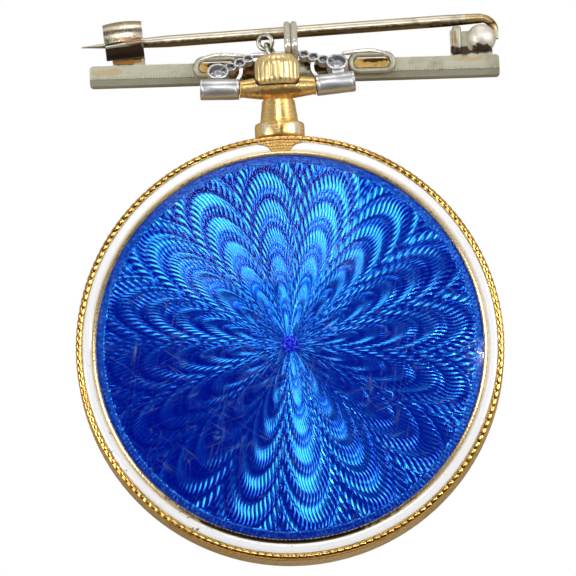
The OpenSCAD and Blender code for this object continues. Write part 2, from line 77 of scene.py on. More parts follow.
# The pendant, the crown and the bow
HINGE = joint_place("bow_swing")
BARREL_HALF = 2.64
CROWN_LOW = 18.85
CROWN_HIGH = node_box("crown")[1].y
CROWN_R = node_box("crown")[1].x
STEM_END = node_box("crown")[0].y
STEM_R = 0.33
BOW_DROP = math.radians(37)
KNUCKLE_X = BARREL_HALF + 0.08
KNUCKLE_R = 0.72
KNUCKLE_LEN = 2.7
KNUCKLE_LEAN = {-1: math.radians(2.7), 1: math.radians(6.2)}
ARM_SKEW = math.radians(3)
ARM_TURN_Y = 2.8
MAIN_R = 0.76
COLLETS = [(4.2, 1.78, MAIN_R), (3.28, 2.26, 0.4), (2.6, 2.6, 0.4), (1.98, 2.94, 0.37)]
COLLET_TOP = 0.35
ARM_TOP = 0.22

# The brooch
BAR_AT = Vector((1.25, 20.25, 0))
BAR_TURN = math.radians(-1)
BAR_LEN = 28.9
BAR_T = 1.4
BAR_W = 1.75
BAR_BEVEL = 0.45
BEAD_PITCH = 0.21
BEAD_R = 0.1
RIVET = joint_place("brooch_hinge")
BALL_R = 0.98
BALL_ROWS = 14


def dome_z(r):
    """Height of the glossy face of the blue enamel at a distance from the axis."""
    return DOME_EDGE_Z + DOME_RISE - DOME_R + math.sqrt(DOME_R ** 2 - r ** 2)


# Making shapes
class Shape:
    """Points in millimetres and the faces between them."""

    def __init__(self):
        self.points = []
        self.faces = []

    def loft(self, rings, wrap=False):
        """Joins closed rings of points, each with the next; wrap joins the last to the first."""
        base = len(self.points)
        sides = len(rings[0])
        for ring in rings:
            self.points.extend(ring)
        spans = len(rings) if wrap else len(rings) - 1
        for i in range(spans):
            here = base + i * sides
            there = base + (i + 1) % len(rings) * sides
            for j in range(sides):
                k = (j + 1) % sides
                self.faces.append((here + j, here + k, there + k, there + j))
        if not wrap:
            last = base + (len(rings) - 1) * sides
            self.faces.append(tuple(base + j for j in reversed(range(sides))))
            self.faces.append(tuple(last + j for j in range(sides)))

    def spun(self, profile, place, steps):
        """Turns an open profile of (along, radius) about an axis and closes both its ends."""
        self.loft([[place(along, r, a) for a in turns(steps)] for along, r in profile])

    def turned(self, profile, place, steps):
        """Turns a closed profile of (along, radius) about an axis into a ring."""
        self.loft([[place(along, r, a) for along, r in profile] for a in turns(steps)], wrap=True)

    def tube(self, path, radii, sides, wrap=False):
        """Sweeps a round section along a path; radii is one number or one for each point."""
        if not isinstance(radii, (list, tuple)):
            radii = [radii] * len(path)
        rings = []
        across = None
        for i, point in enumerate(path):
            before = path[i - 1] if i or wrap else path[0]
            after = path[(i + 1) % len(path)] if i < len(path) - 1 or wrap else path[-1]
            along = (after - before).normalized()
            if across is None:
                across = along.orthogonal()
            across = (across - along * across.dot(along)).normalized()
            other = along.cross(across)
            ring = [point + (across * math.cos(a) + other * math.sin(a)) * radii[i] for a in turns(sides)]
            rings.append(ring)
        self.loft(rings, wrap)

    def bead(self, centre, radius, up=Vector((0, 0, 1)), flat=1.0, sides=8, rows=5):
        """Adds a small round bead, flattened along up."""
        side = up.orthogonal().normalized()
        other = up.cross(side)
        rings = []
        for row in range(rows):
            tilt = math.pi * (row + 0.5) / rows
            level = centre + up * (radius * flat * math.cos(tilt))
            rings.append([level + (side * math.cos(a) + other * math.sin(a)) * radius * math.sin(tilt)
                          for a in turns(sides)])
        self.loft(rings)


def turns(count):
    """Angles spread evenly over one full turn."""
    return [FULL_TURN * i / count for i in range(count)]


def polar(r, angle, z):
    """A point at a distance from the axis of the case, at an angle from +X and at a height."""
    return Vector((r * math.cos(angle), r * math.sin(angle), z))


def about(origin, axis):
    """A place function (along, radius, angle) for shapes turned about an axis."""
    axis = Vector(axis).normalized()
    side = Vector((1, 0, 0)) if abs(axis.x) < 0.9 else Vector((0, 1, 0))
    side = (side - axis * side.dot(axis)).normalized()
    other = axis.cross(side)

    def place(along, r, angle):
        return origin + axis * along + (side * math.cos(angle) + other * math.sin(angle)) * r

    return place


def put_in_scene(name, data):
    """Adds an object with the given data to the scene."""
    thing = bpy.data.objects.new(name, data)
    bpy.context.scene.collection.objects.link(thing)
    return thing


def make_piece(name, shape, finish, body, crease_deg=35, flat=False):
    """Turns a shape into a mesh piece that rides on a body."""
    mesh = bpy.data.meshes.new(name)
    mesh.from_pydata([p * MM for p in shape.points], [], shape.faces)
    solid = bmesh.new()
    solid.from_mesh(mesh)
    bmesh.ops.recalc_face_normals(solid, faces=solid.faces)
    solid.to_mesh(mesh)
    solid.free()
    if flat:
        mesh.shade_flat()
    else:
        mesh.shade_smooth()
        mesh.set_sharp_from_angle(angle=math.radians(crease_deg))
    mesh.materials.append(finish)
    piece = put_in_scene(name, mesh)
    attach(piece, body)
    return piece


# Making finishes
class Tree:
    """Adds nodes to a material or a group."""

    def __init__(self, tree):
        self.tree = tree

    def put(self, socket, value):
        """Links an output to a socket, or sets it to a constant; a colour is three numbers."""
        if isinstance(value, bpy.types.NodeSocket):
            self.tree.links.new(value, socket)
        else:
            socket.default_value = (*value, 1) if socket.type == "RGBA" else value

    def add(self, kind, values=None, **settings):
        """Adds a node, with its settings and the values of its named sockets."""
        node = self.tree.nodes.new(kind)
        for key, value in settings.items():
            setattr(node, key, value)
        for name, value in (values or {}).items():
            self.put(node.inputs[name], value)
        return node

    def math(self, operation, a, b=0.5):
        return self.add("ShaderNodeMath", {0: a, 1: b}, operation=operation).outputs[0]

    def times(self, a, b):
        return self.math("MULTIPLY", a, b)

    def plus(self, a, b):
        return self.math("ADD", a, b)

    def minus(self, a, b):
        return self.math("SUBTRACT", a, b)

    def vector(self, operation, a, b=(0, 0, 0)):
        """Works on vectors and gives a vector, or a value for a length or a dot product."""
        node = self.add("ShaderNodeVectorMath", {0: a, 1: b}, operation=operation)
        return node.outputs["Value" if operation in ("LENGTH", "DOT_PRODUCT") else "Vector"]

    def mix(self, factor, a, b):
        """Mixes two colours."""
        return self.add("ShaderNodeMix", {0: factor, 6: a, 7: b}, data_type="RGBA").outputs[2]

    def spread(self, value, low, high, to_low=0.0, to_high=1.0):
        """Maps a value from one range to another and clamps it there."""
        values = {"Value": value, "From Min": low, "From Max": high, "To Min": to_low, "To Max": to_high}
        return self.add("ShaderNodeMapRange", values).outputs["Result"]

    def noise(self, vector, scale, detail=3.0, roughness=0.55):
        values = {"Vector": vector, "Scale": scale, "Detail": detail, "Roughness": roughness}
        return self.add("ShaderNodeTexNoise", values).outputs["Fac"]

    def stretch(self, vector, scale, turn_deg=(0, 0, 0)):
        """Turns a place and then scales it along each axis."""
        values = {"Vector": vector, "Rotation": [math.radians(t) for t in turn_deg]}
        return self.vector("MULTIPLY", self.add("ShaderNodeMapping", values).outputs[0], scale)

    def place_mm(self):
        """The place on the piece, in millimetres, which moves with the piece."""
        place = self.add("ShaderNodeTexCoord").outputs["Object"]
        return self.add("ShaderNodeVectorMath", {0: place, "Scale": 1 / MM}, operation="SCALE").outputs[0]

    def parts(self, vector):
        """The X, Y and Z of a vector."""
        return self.add("ShaderNodeSeparateXYZ", {0: vector}).outputs

    def bump(self, height, distance_mm, strength=1.0, normal=None):
        values = {"Height": height, "Distance": distance_mm * MM, "Strength": strength}
        if normal is not None:
            values["Normal"] = normal
        return self.add("ShaderNodeBump", values).outputs["Normal"]


def effect(name, output, build, **inputs):
    """Builds a node group once; an input whose value is None is a vector, and others are numbers."""
    group = bpy.data.node_groups.new(name, "ShaderNodeTree")
    for key, value in inputs.items():
        kind = "NodeSocketVector" if value is None else "NodeSocketFloat"
        socket = group.interface.new_socket(name=key, in_out="INPUT", socket_type=kind)
        if value is not None:
            socket.default_value = value
    group.interface.new_socket(name=output, in_out="OUTPUT", socket_type="NodeSocketFloat")
    tree = Tree(group)
    given = tree.add("NodeGroupInput").outputs
    tree.put(tree.add("NodeGroupOutput").inputs[output], build(tree, given))
    return group


def build_scratches(tree, given):
    """Sparse hairlines in three directions over the face of a piece."""
    lines = None
    for i, turn in enumerate((12, 71, 128)):
        place = tree.stretch(given["Place"], (1.0, 0.035, 1.0), (0, 0, turn))
        grain = tree.noise(place, given["Scale"], 2.0, 0.5)
        off_middle = tree.math("ABSOLUTE", tree.minus(grain, 0.5))
        line = tree.spread(off_middle, 0.0, given["Width"], 1.0, 0.0)
        where = tree.noise(tree.stretch(given["Place"], (1, 1, 1), (0, 0, 40 * i + 9)), 0.45, 1.0)
        line = tree.times(line, tree.spread(where, given["Bare"], 0.75))
        lines = line if lines is None else tree.math("MAXIMUM", lines, line)
    return lines


def build_worn_edges(tree, given):
    """Finds the convex edges of a piece, broken up by noise."""
    rounded = tree.add("ShaderNodeBevel", {"Radius": given["Width"]}, samples=4).outputs["Normal"]
    plain = tree.add("ShaderNodeNewGeometry").outputs["Normal"]
    edge = tree.spread(tree.vector("DOT_PRODUCT", rounded, plain), 0.985, 0.8)
    patches = tree.spread(tree.noise(given["Place"], 3.1, 4.0), 0.35, 0.6, 0.35, 1.0)
    return tree.times(edge, patches)


def build_crevice_dirt(tree, given):
    """Finds the inner corners where dirt stays."""
    shade = tree.add("ShaderNodeAmbientOcclusion", {"Distance": given["Reach"]}, samples=6)
    corner = tree.spread(shade.outputs["AO"], 0.95, 0.35)
    patches = tree.spread(tree.noise(given["Place"], 2.3, 4.0), 0.3, 0.7, 0.5, 1.0)
    return tree.times(corner, patches)


def build_tarnish(tree, given):
    """Cloudy stains at two scales."""
    large = tree.noise(given["Place"], given["Scale"], 4.0, 0.6)
    small_scale = tree.times(given["Scale"], 6.0)
    small = tree.noise(given["Place"], small_scale, 3.0, 0.6)
    both = tree.plus(tree.times(large, 0.75), tree.times(small, 0.25))
    return tree.spread(both, given["From"], 0.72)


def build_tool_marks(tree, given):
    """Fine marks drawn out along one axis of the given place."""
    fine = tree.noise(given["Place"], 9.0, 3.0, 0.6)
    coarse = tree.noise(given["Place"], 2.6, 2.0, 0.5)
    return tree.plus(tree.times(fine, 0.6), tree.times(coarse, 0.4))


SCRATCHES = effect("scratches", "Mask", build_scratches, Place=None, Scale=2.0, Width=0.01, Bare=0.5)
WORN_EDGES = effect("worn edges", "Mask", build_worn_edges, Place=None, Width=0.1 * MM)
CREVICE_DIRT = effect("crevice dirt", "Mask", build_crevice_dirt, Place=None, Reach=0.6 * MM)
TARNISH = effect("tarnish clouds", "Mask", build_tarnish, Place=None, Scale=0.4, From=0.5)
TOOL_MARKS = effect("tool marks", "Height", build_tool_marks, Place=None)


def use(tree, group, **values):
    """Places a node group in a material with its own values and gives its first output."""
    node = tree.add("ShaderNodeGroup", node_tree=group)
    for name, value in values.items():
        tree.put(node.inputs[name], value)
    return node.outputs[0]


def new_finish(name, **values):
    """A material with one Principled shader; values are its constant sockets, paint sets the others."""
    finish = bpy.data.materials.new(name)
    finish.use_nodes = True
    tree = Tree(finish.node_tree)
    shader = finish.node_tree.nodes["Principled BSDF"]
    for key, value in values.items():
        shader.inputs[key.replace("_", " ")].default_value = value

    def paint(socket, value):
        tree.put(shader.inputs[socket], value)

    return finish, tree, paint


def soiled_spots(tree, place, spots):
    """A mask of oval spots with ragged edges."""
    soiled = None
    for x, y, half_w, half_h in spots:
        off = tree.vector("SUBTRACT", place, (x, y, 0))
        far = tree.vector("LENGTH", tree.vector("MULTIPLY", off, (1 / half_w, 1 / half_h, 0)))
        ragged = tree.plus(far, tree.spread(tree.noise(place, 2.5, 4.0), 0.3, 0.7, -0.4, 0.4))
        spot = tree.spread(ragged, 1.1, 0.8)
        soiled = spot if soiled is None else tree.math("MAXIMUM", soiled, spot)
    return soiled


def worn_metal(name, colour, stain, worn, rough=(0.18, 0.34), marks=(1, 1, 1), marks_depth=0.004,
               tarnish_from=0.5, tarnish_scale=0.5, scratch_bare=0.5, stain_strength=0.6, soiled=(),
               slope=0.0, metallic=1.0):
    """Metal with tool marks, scratches, stained clouds, dark inner corners and bright edges, and any given
    oval spots of stains, painted shade, painted highlights and painted reflections.
    """
    finish, tree, paint = new_finish(name, Metallic=metallic)
    place = tree.place_mm()
    clouds = use(tree, TARNISH, Place=place, Scale=tarnish_scale, From=tarnish_from)
    dirt = use(tree, CREVICE_DIRT, Place=place)
    edges = use(tree, WORN_EDGES, Place=place)
    scratches = use(tree, SCRATCHES, Place=place, Scale=2.2, Width=0.012, Bare=scratch_bare)
    grain = use(tree, TOOL_MARKS, Place=tree.stretch(place, marks))
    stained = tree.times(tree.math("MAXIMUM", clouds, dirt), stain_strength)
    tint = tree.mix(stained, colour, stain)
    x, y, z = tree.parts(place)
    leaning = tree.minus(y, tree.times(x, slope))
    level = tree.add("ShaderNodeCombineXYZ", {0: x, 1: leaning, 2: z}).outputs[0]
    # Oval spots: stains, and painted shade, painted highlights and painted reflections
    for spots, spot_tint, share in soiled:
        tint = tree.mix(tree.times(soiled_spots(tree, level, spots), share), tint, spot_tint)
    tint = tree.mix(tree.times(edges, 0.7), tint, worn)
    paint("Base Color", tint)
    gloss = tree.spread(grain, 0.3, 0.7, rough[0], rough[1])
    gloss = tree.plus(gloss, tree.times(stained, 0.22))
    paint("Roughness", tree.minus(gloss, tree.times(edges, 0.05)))
    normal = tree.bump(grain, marks_depth)
    paint("Normal", tree.bump(tree.minus(1.0, scratches), 0.006, 0.7, normal))
    return finish


GOLD_STAIN = (0.35, 0.14, 0.025)
GOLD_WORN = (1.0, 0.84, 0.5)
SILVER_STAIN = (0.2, 0.15, 0.07)
SILVER_WORN = (0.92, 0.9, 0.84)
# The dark brown below serves painted shade and dirt, and the amber serves painted reflections and stains
DARK_SHADE_AND_SOIL = (0.035, 0.012, 0.004)
AMBER_REFLECTION_AND_STAIN = (0.42, 0.19, 0.03)
TAN = (0.5, 0.34, 0.13)

# Oval spots (x, y, half width, half height), their colour and its strength: some are dirt and stains, others
# are painted shade, painted highlights and painted reflections
# On the brooch: dark painted shade at the catch, at the feet of the ball and its plate, and beside the
# crown, with some dirt there; amber painted reflections in the catch and on the upright plate, with some
# stain; and tan stains
BROOCH_SHADE_SHEEN_AND_STAINS = [
    ([(-10.7, 22.1, 2.2, 0.8), (12.9, 21.05, 0.9, 0.34), (14.4, 20.98, 1.3, 0.2), (-1.6, 20.5, 2.2, 0.9),
      (3.4, 20.7, 1.5, 0.7)], DARK_SHADE_AND_SOIL, 0.93),
    ([(-10.4, 21.55, 1.4, 0.16), (-3.0, 20.35, 1.2, 0.4), (12.66, 21.9, 0.1, 0.6)], AMBER_REFLECTION_AND_STAIN, 0.8),
    ([(13.4, 20.45, 1.2, 0.2), (-11.8, 20.7, 1.1, 0.25), (-4.6, 20.3, 0.7, 0.5)], TAN, 0.55),
]
# How far the pin leans towards -Y for each millimetre along it
PIN_SLOPE = 0.68 / 25.85
# On the pin: painted shade along its near side towards -Y and under it beside the ball, and a golden-brown
# colour on its bend
PIN_SHADE_AND_STAINS = [
    ([(0.0, 22.68, 30.0, 0.28)], (0.26, 0.15, 0.03), 0.85),
    ([(14.6, 22.5, 1.3, 1.3)], (0.5, 0.33, 0.12), 0.75),
    ([(13.0, 22.58, 2.4, 0.2)], DARK_SHADE_AND_SOIL, 0.9),
]
# On the pendant: painted shade on the near side of the barrel and at the foot of the collar, painted orange
# reflections along the near edge of the barrel and the top edge of the collar, painted highlights on the
# collar, and dark scratches on it
PENDANT_PAINTED_LIGHT_AND_SCRATCHES = [
    ([(0.0, 18.25, 1.9, 0.3), (-0.3, 15.05, 1.2, 0.12)], (0.3, 0.13, 0.02), 0.7),
    ([(0.0, 17.95, 2.9, 0.14), (0.4, 16.2, 0.9, 0.12)], (0.75, 0.36, 0.06), 0.7),
    ([(1.15, 15.6, 0.42, 0.45), (-0.95, 15.6, 0.25, 0.45)], (1.0, 0.95, 0.75), 0.75),
    ([(0.15, 15.6, 0.12, 0.4), (-0.2, 15.75, 0.07, 0.3)], (0.22, 0.1, 0.02), 0.7),
]
# On the gold line: painted shade, a painted dark reflection, over its near part towards -Y
LINE_PAINTED_SHADE = [
    ([(-2.5, -13.3, 10.5, 3.6)], (0.2, 0.13, 0.05), 0.6),
    ([(-2.0, -13.4, 8.2, 1.9)], (0.03, 0.018, 0.006), 0.9),
]
# On the loop backings: painted shade where they show inside the loops
BACKING_PAINTED_SHADE = [([(-4.3, 20.85, 0.75, 0.22), (6.9, 20.65, 1.1, 0.14)], DARK_SHADE_AND_SOIL, 0.95)]
CATCH_SOILED = [([(-10.4, 22.92, 1.2, 0.14)], (0.16, 0.06, 0.01), 0.85)]
LIP_SOILED = [([(-9.7, 22.75, 0.75, 0.6)], (0.5, 0.3, 0.15), 0.8)]
BALL_SOILED = [([(14.5, 21.1, 0.75, 0.3)], DARK_SHADE_AND_SOIL, 0.9)]


def gold(name, colour, stain=GOLD_STAIN, rough=(0.2, 0.34), **more):
    return worn_metal(name, colour, stain, GOLD_WORN, rough, **more)


def silver(name, colour, stain=SILVER_STAIN, rough=(0.2, 0.36), **more):
    return worn_metal(name, colour, stain, SILVER_WORN, rough, **more)


gold_case = gold("gold case", (0.86, 0.58, 0.2), rough=(0.16, 0.3), marks=(1, 1, 0.2))
gold_line = gold("gold line", (0.95, 0.76, 0.4), rough=(0.22, 0.36), soiled=LINE_PAINTED_SHADE)
gold_rope = gold("gold rope", (0.84, 0.5, 0.14), (0.28, 0.11, 0.015), (0.14, 0.26), stain_strength=0.9)
gold_backing = gold(
    "stained gold backing", (0.6, 0.38, 0.12), (0.06, 0.02, 0.004), (0.2, 0.5),
    tarnish_from=0.4, tarnish_scale=1.3, stain_strength=0.95, soiled=BACKING_PAINTED_SHADE)
gold_pendant = gold(
    "gold pendant", (0.92, 0.64, 0.24), (0.5, 0.24, 0.05), (0.18, 0.32), marks=(0.25, 1, 1),
    scratch_bare=0.35, tarnish_scale=0.9, soiled=PENDANT_PAINTED_LIGHT_AND_SCRATCHES, metallic=0.7)
gold_crown = gold(
    "gold crown", (0.96, 0.75, 0.36), (0.5, 0.28, 0.06), (0.24, 0.36), stain_strength=0.7,
    metallic=0.75)
gold_beads = gold(
    "orange gold beads", (0.95, 0.52, 0.14), (0.3, 0.1, 0.01), stain_strength=0.8, metallic=0.7)
silver_brooch = silver(
    "silver brooch", (0.5, 0.49, 0.38), rough=(0.42, 0.58), marks=(0.12, 1, 1), marks_depth=0.008,
    scratch_bare=0.4, tarnish_scale=0.35, soiled=BROOCH_SHADE_SHEEN_AND_STAINS, metallic=0.75)
silver_rings = silver("silver rings", (0.84, 0.82, 0.74), metallic=0.7)
silver_link = silver(
    "silver link", (0.56, 0.54, 0.46), (0.1, 0.07, 0.03), (0.24, 0.38), stain_strength=0.9)
silver_catch = silver(
    "silver catch", (0.6, 0.54, 0.41), (0.2, 0.1, 0.03), (0.2, 0.32), marks=(1, 0.2, 1),
    marks_depth=0.008, tarnish_from=0.45, tarnish_scale=0.9, soiled=CATCH_SOILED)
silver_pin = silver(
    "silver pin", (0.66, 0.6, 0.48), (0.25, 0.17, 0.07), (0.3, 0.44), marks=(0.08, 1, 1),
    marks_depth=0.005, soiled=PIN_SHADE_AND_STAINS, slope=PIN_SLOPE)
silver_lip = silver("pale silver lip", (0.9, 0.86, 0.72), rough=(0.35, 0.5), soiled=LIP_SOILED)
silver_ball = silver(
    "satin silver ball", (0.88, 0.85, 0.76), (0.12, 0.09, 0.04), (0.5, 0.62), soiled=BALL_SOILED)
platinum = worn_metal(
    "platinum", (0.66, 0.67, 0.68), (0.12, 0.12, 0.11), (0.95, 0.95, 0.95), (0.3, 0.46),
    (0.15, 1, 1), tarnish_from=0.55, metallic=0.85)
nickel = worn_metal("nickel", (0.6, 0.6, 0.58), (0.3, 0.28, 0.24), (0.85, 0.85, 0.84), (0.25, 0.4))
blued_steel = worn_metal(
    "blued steel", (0.04, 0.07, 0.3), (0.02, 0.02, 0.06), (0.1, 0.2, 0.6), (0.15, 0.25),
    stain_strength=0.3)


def radius_of(tree, place):
    """Distance from the axis of the case, in millimetres."""
    x, y, _ = tree.parts(place)
    return tree.math("SQRT", tree.plus(tree.times(x, x), tree.times(y, y)))


def engine_turned_finish():
    """Bright metal seen through blue enamel, deeper in the plain margin, with painted shade on the steep
    side of each arch.
    """
    finish, tree, paint = new_finish("engine turned ground", Metallic=1.0)
    place = tree.place_mm()
    clouds = use(tree, TARNISH, Place=place, Scale=0.3, From=0.35)
    tint = tree.mix(clouds, (0.05, 0.45, 1.0), (0.028, 0.34, 0.92))
    r = radius_of(tree, place)
    cut = tree.add("ShaderNodeAttribute", attribute_name="cut depth").outputs["Fac"]
    valley = tree.times(tree.spread(cut, 0.62, 0.92), tree.spread(r, 1.5, 5.0, 0.1, 0.45))
    tint = tree.mix(valley, tint, (0.003, 0.03, 0.45))
    # Painted shade: the colour is deeper on the steep side of each arch
    arch = tree.add("ShaderNodeAttribute", attribute_name="arch shade").outputs["Fac"]
    tint = tree.mix(tree.times(arch, 0.85), tint, (0.002, 0.02, 0.4))
    crumbs = tree.spread(tree.noise(place, 7.0, 2.0), 0.42, 0.6)
    tint = tree.mix(tree.times(crumbs, 0.2), tint, (0.005, 0.06, 0.54))
    edge = tree.spread(r, 13.0, 13.12)
    flecks = tree.spread(tree.noise(place, 3.5, 2.0), 0.5, 0.66)
    margin = tree.mix(flecks, (0.014, 0.03, 0.26), (0.05, 0.24, 0.8))
    paint("Base Color", tree.mix(tree.times(edge, 0.75), tint, margin))
    grain = use(tree, TOOL_MARKS, Place=place)
    gloss = tree.spread(grain, 0.3, 0.7, 0.15, 0.22)
    paint("Roughness", tree.plus(gloss, tree.times(edge, 0.15)))
    grit = tree.times(tree.noise(place, 4.0, 2.0), edge)
    paint("Normal", tree.bump(grit, 0.06, 1.0, tree.bump(grain, 0.003)))
    return finish


def blue_enamel_finish():
    """A clear, glossy, deep blue layer with pale scratches; the boss is nearly opaque."""
    finish, tree, paint = new_finish("blue enamel", IOR=1.5, Specular_IOR_Level=0.17, Roughness=0.05)
    place = tree.place_mm()
    r = radius_of(tree, place)
    scratches = use(tree, SCRATCHES, Place=place, Scale=1.3, Width=0.01, Bare=0.42)
    specks = tree.spread(tree.noise(place, 5.0, 2.0), 0.72, 0.78)
    marks = tree.times(tree.math("MAXIMUM", scratches, specks), 0.75)
    paint("Base Color", tree.mix(marks, (0.0, 0.01, 0.7), (0.3, 0.5, 0.95)))
    boss = tree.spread(r, 0.62, 0.58, 0.3, 0.9)
    paint("Alpha", tree.math("MAXIMUM", boss, tree.times(marks, 0.6)))
    ripple = tree.noise(place, 0.35, 2.0)
    normal = tree.bump(ripple, 0.015)
    paint("Normal", tree.bump(tree.minus(1.0, marks), 0.004, 0.6, normal))
    return finish


def white_enamel_finish():
    """Glossy white with faint mottling, brown chips at the lower left and soiled edges."""
    finish, tree, paint = new_finish("white enamel", Roughness=0.12, IOR=1.5)
    place = tree.place_mm()
    clouds = tree.noise(place, 0.8, 4.0)
    white = tree.mix(clouds, (0.94, 0.93, 0.96), (0.98, 0.98, 0.97))
    dirt = use(tree, CREVICE_DIRT, Place=place, Reach=0.25 * MM)
    white = tree.mix(tree.times(dirt, 0.5), white, (0.55, 0.45, 0.28))
    x, y, _ = tree.parts(place)
    lower_left = tree.spread(tree.plus(x, tree.times(y, 1.4)), -9.0, -19.0)
    pits = tree.spread(tree.noise(place, 2.6, 3.0, 0.6), 0.66, 0.7)
    chips = tree.times(pits, lower_left)
    paint("Base Color", tree.mix(chips, white, (0.22, 0.12, 0.05)))
    paint("Normal", tree.bump(tree.minus(clouds, chips), 0.02))
    return finish


def dial_enamel_finish():
    """Warm white dial enamel with faint mottling."""
    finish, tree, paint = new_finish("dial enamel", Roughness=0.15, IOR=1.5)
    place = tree.place_mm()
    paint("Base Color", tree.mix(tree.noise(place, 0.6, 4.0), (0.86, 0.85, 0.8), (0.92, 0.91, 0.87)))
    paint("Normal", tree.bump(tree.noise(place, 0.9, 3.0), 0.01))
    return finish


def dial_ink_finish():
    """Fired black paint on the dial."""
    finish, tree, paint = new_finish("dial ink", Roughness=0.35)
    thin = tree.spread(tree.noise(tree.place_mm(), 6.0, 3.0), 0.4, 0.7)
    paint("Base Color", tree.mix(thin, (0.01, 0.01, 0.012), (0.05, 0.05, 0.06)))
    return finish


def diamond_finish():
    """Clear stone with a faint cloud of polish marks."""
    finish, tree, paint = new_finish("diamond", Roughness=0.02, IOR=2.4, Transmission_Weight=0.75)
    haze = tree.noise(tree.place_mm(), 4.0, 3.0)
    paint("Base Color", tree.mix(haze, (0.86, 0.87, 0.93), (0.98, 0.98, 1.0)))
    return finish


def watch_glass_finish():
    """Clear glass with fine hairlines."""
    finish, tree, paint = new_finish("watch glass", IOR=1.5, Transmission_Weight=1.0)
    place = tree.place_mm()
    scratches = use(tree, SCRATCHES, Place=place, Scale=0.9, Width=0.006, Bare=0.5)
    paint("Base Color", tree.mix(scratches, (0.97, 0.98, 0.98), (0.85, 0.87, 0.87)))
    paint("Roughness", tree.spread(scratches, 0.0, 1.0, 0.02, 0.4))
    return finish


engine_turned = engine_turned_finish()
blue_enamel = blue_enamel_finish()
white_enamel = white_enamel_finish()
dial_enamel = dial_enamel_finish()
dial_ink = dial_ink_finish()
diamond = diamond_finish()
watch_glass = watch_glass_finish()

for node_finish, node_names in (
        (gold_pendant, "case_middle"), (gold_case, "front_bezel back_cover"), (gold_crown, "crown"),
        (gold_backing, "loop_backing_left loop_backing_right"), (watch_glass, "watch_glass"),
        (dial_enamel, "dial"), (nickel, "movement winding_sleeve"), (blued_steel, "hour_hand minute_hand"),
        (white_enamel, "white_enamel"), (blue_enamel, "blue_enamel"), (platinum, "bow"),
        (diamond, "main_diamond_left main_diamond_right small_diamonds"), (silver_rings, "bail"),
        (silver_link, "jump_ring_oval jump_ring_link"), (silver_pin, "brooch_pin"),
        (silver_brooch, "brooch_frame")):
    for node_name in node_names.split():
        frame["nodes"][node_name].material_slots[0].material = node_finish


# The engine-turned ground under the blue enamel: near-radial cuts that wave in nested arches
GROUND_LINES = 288
GROUND_FLAT = 0.36
GROUND_PETALS = 16
PETAL_TURN = math.radians(5.3)
ARCH_STEP = 2.05
ARCH_AT = 9.05
ARCH_FALL = 3.1
LINE_WAVE = 0.009
CUT_SLOPE = 0.42
GROUND_DEPTH = 0.1
GROUND_SWELL = 0.018
ARCH_RISE = 0.62
GROUND_IN = 0.56
GROUND_OUT = 13.05
GROUND_ROWS = 100
MARGIN_ROWS = 7
GROUND_FOOT = 0.33
MARGIN_TILT = 0.02
MARGIN_DROP = 0.05
MARGIN_STROKE = 0.012
MARGIN_GAP = 0.03
SCALLOP = 0.17
SCALLOPED = (0.0, 0.3, 0.8, 1.0, 0.8, 0.3)


def arch_swell(phase):
    """Height of the nested arches: each rises slowly outward and falls quickly."""
    share = phase / FULL_TURN % 1
    if share < ARCH_RISE:
        return -math.cos(math.pi * share / ARCH_RISE)
    return math.cos(math.pi * (share - ARCH_RISE) / (1 - ARCH_RISE))


def line_angle(column):
    """Angle of a column: each line has the two edges of its flat ridge and the bottom of its cut."""
    line, part = divmod(column, 3)
    return FULL_TURN * (line + (0, GROUND_FLAT, (1 + GROUND_FLAT) / 2)[part]) / GROUND_LINES


def arch_phase(r, angle):
    """How far a place lies between two nested arches, as an angle."""
    across = ((angle - PETAL_TURN) * GROUND_PETALS / FULL_TURN + 0.5) % 1 * 2 - 1
    return FULL_TURN * (r - ARCH_AT + ARCH_FALL * across ** 2) / ARCH_STEP


def arch_shade(point):
    """How much painted shade deepens the colour on the steep side of an arch."""
    r = point.xy.length
    if not GROUND_IN + 0.01 < r < GROUND_OUT:
        return 0.0
    share = arch_phase(r, math.atan2(point.y, point.x)) / FULL_TURN % 1
    return max(0.0, math.sin(math.pi * (share - ARCH_RISE) / (1 - ARCH_RISE)))


def ground_point(r, column):
    """One point of the engine turning; every third column is the bottom of a cut."""
    angle = line_angle(column)
    phase = arch_phase(r, angle)
    angle -= LINE_WAVE * math.sin(phase)
    cut = CUT_SLOPE * math.pi * r * (1 - GROUND_FLAT) / GROUND_LINES if column % 3 == 2 else 0
    z = dome_z(r) - GROUND_DEPTH + GROUND_SWELL * arch_swell(phase) - cut
    return polar(r, angle, z)


def margin_point(r, column):
    """One point of the plain margin, which falls outward and has faint milled strokes."""
    angle = line_angle(column)
    stroke = MARGIN_STROKE if column % 3 == 2 else 0
    z = dome_z(r) - GROUND_DEPTH - MARGIN_DROP - MARGIN_TILT * (r - GROUND_OUT) - stroke
    return polar(r, angle, z)


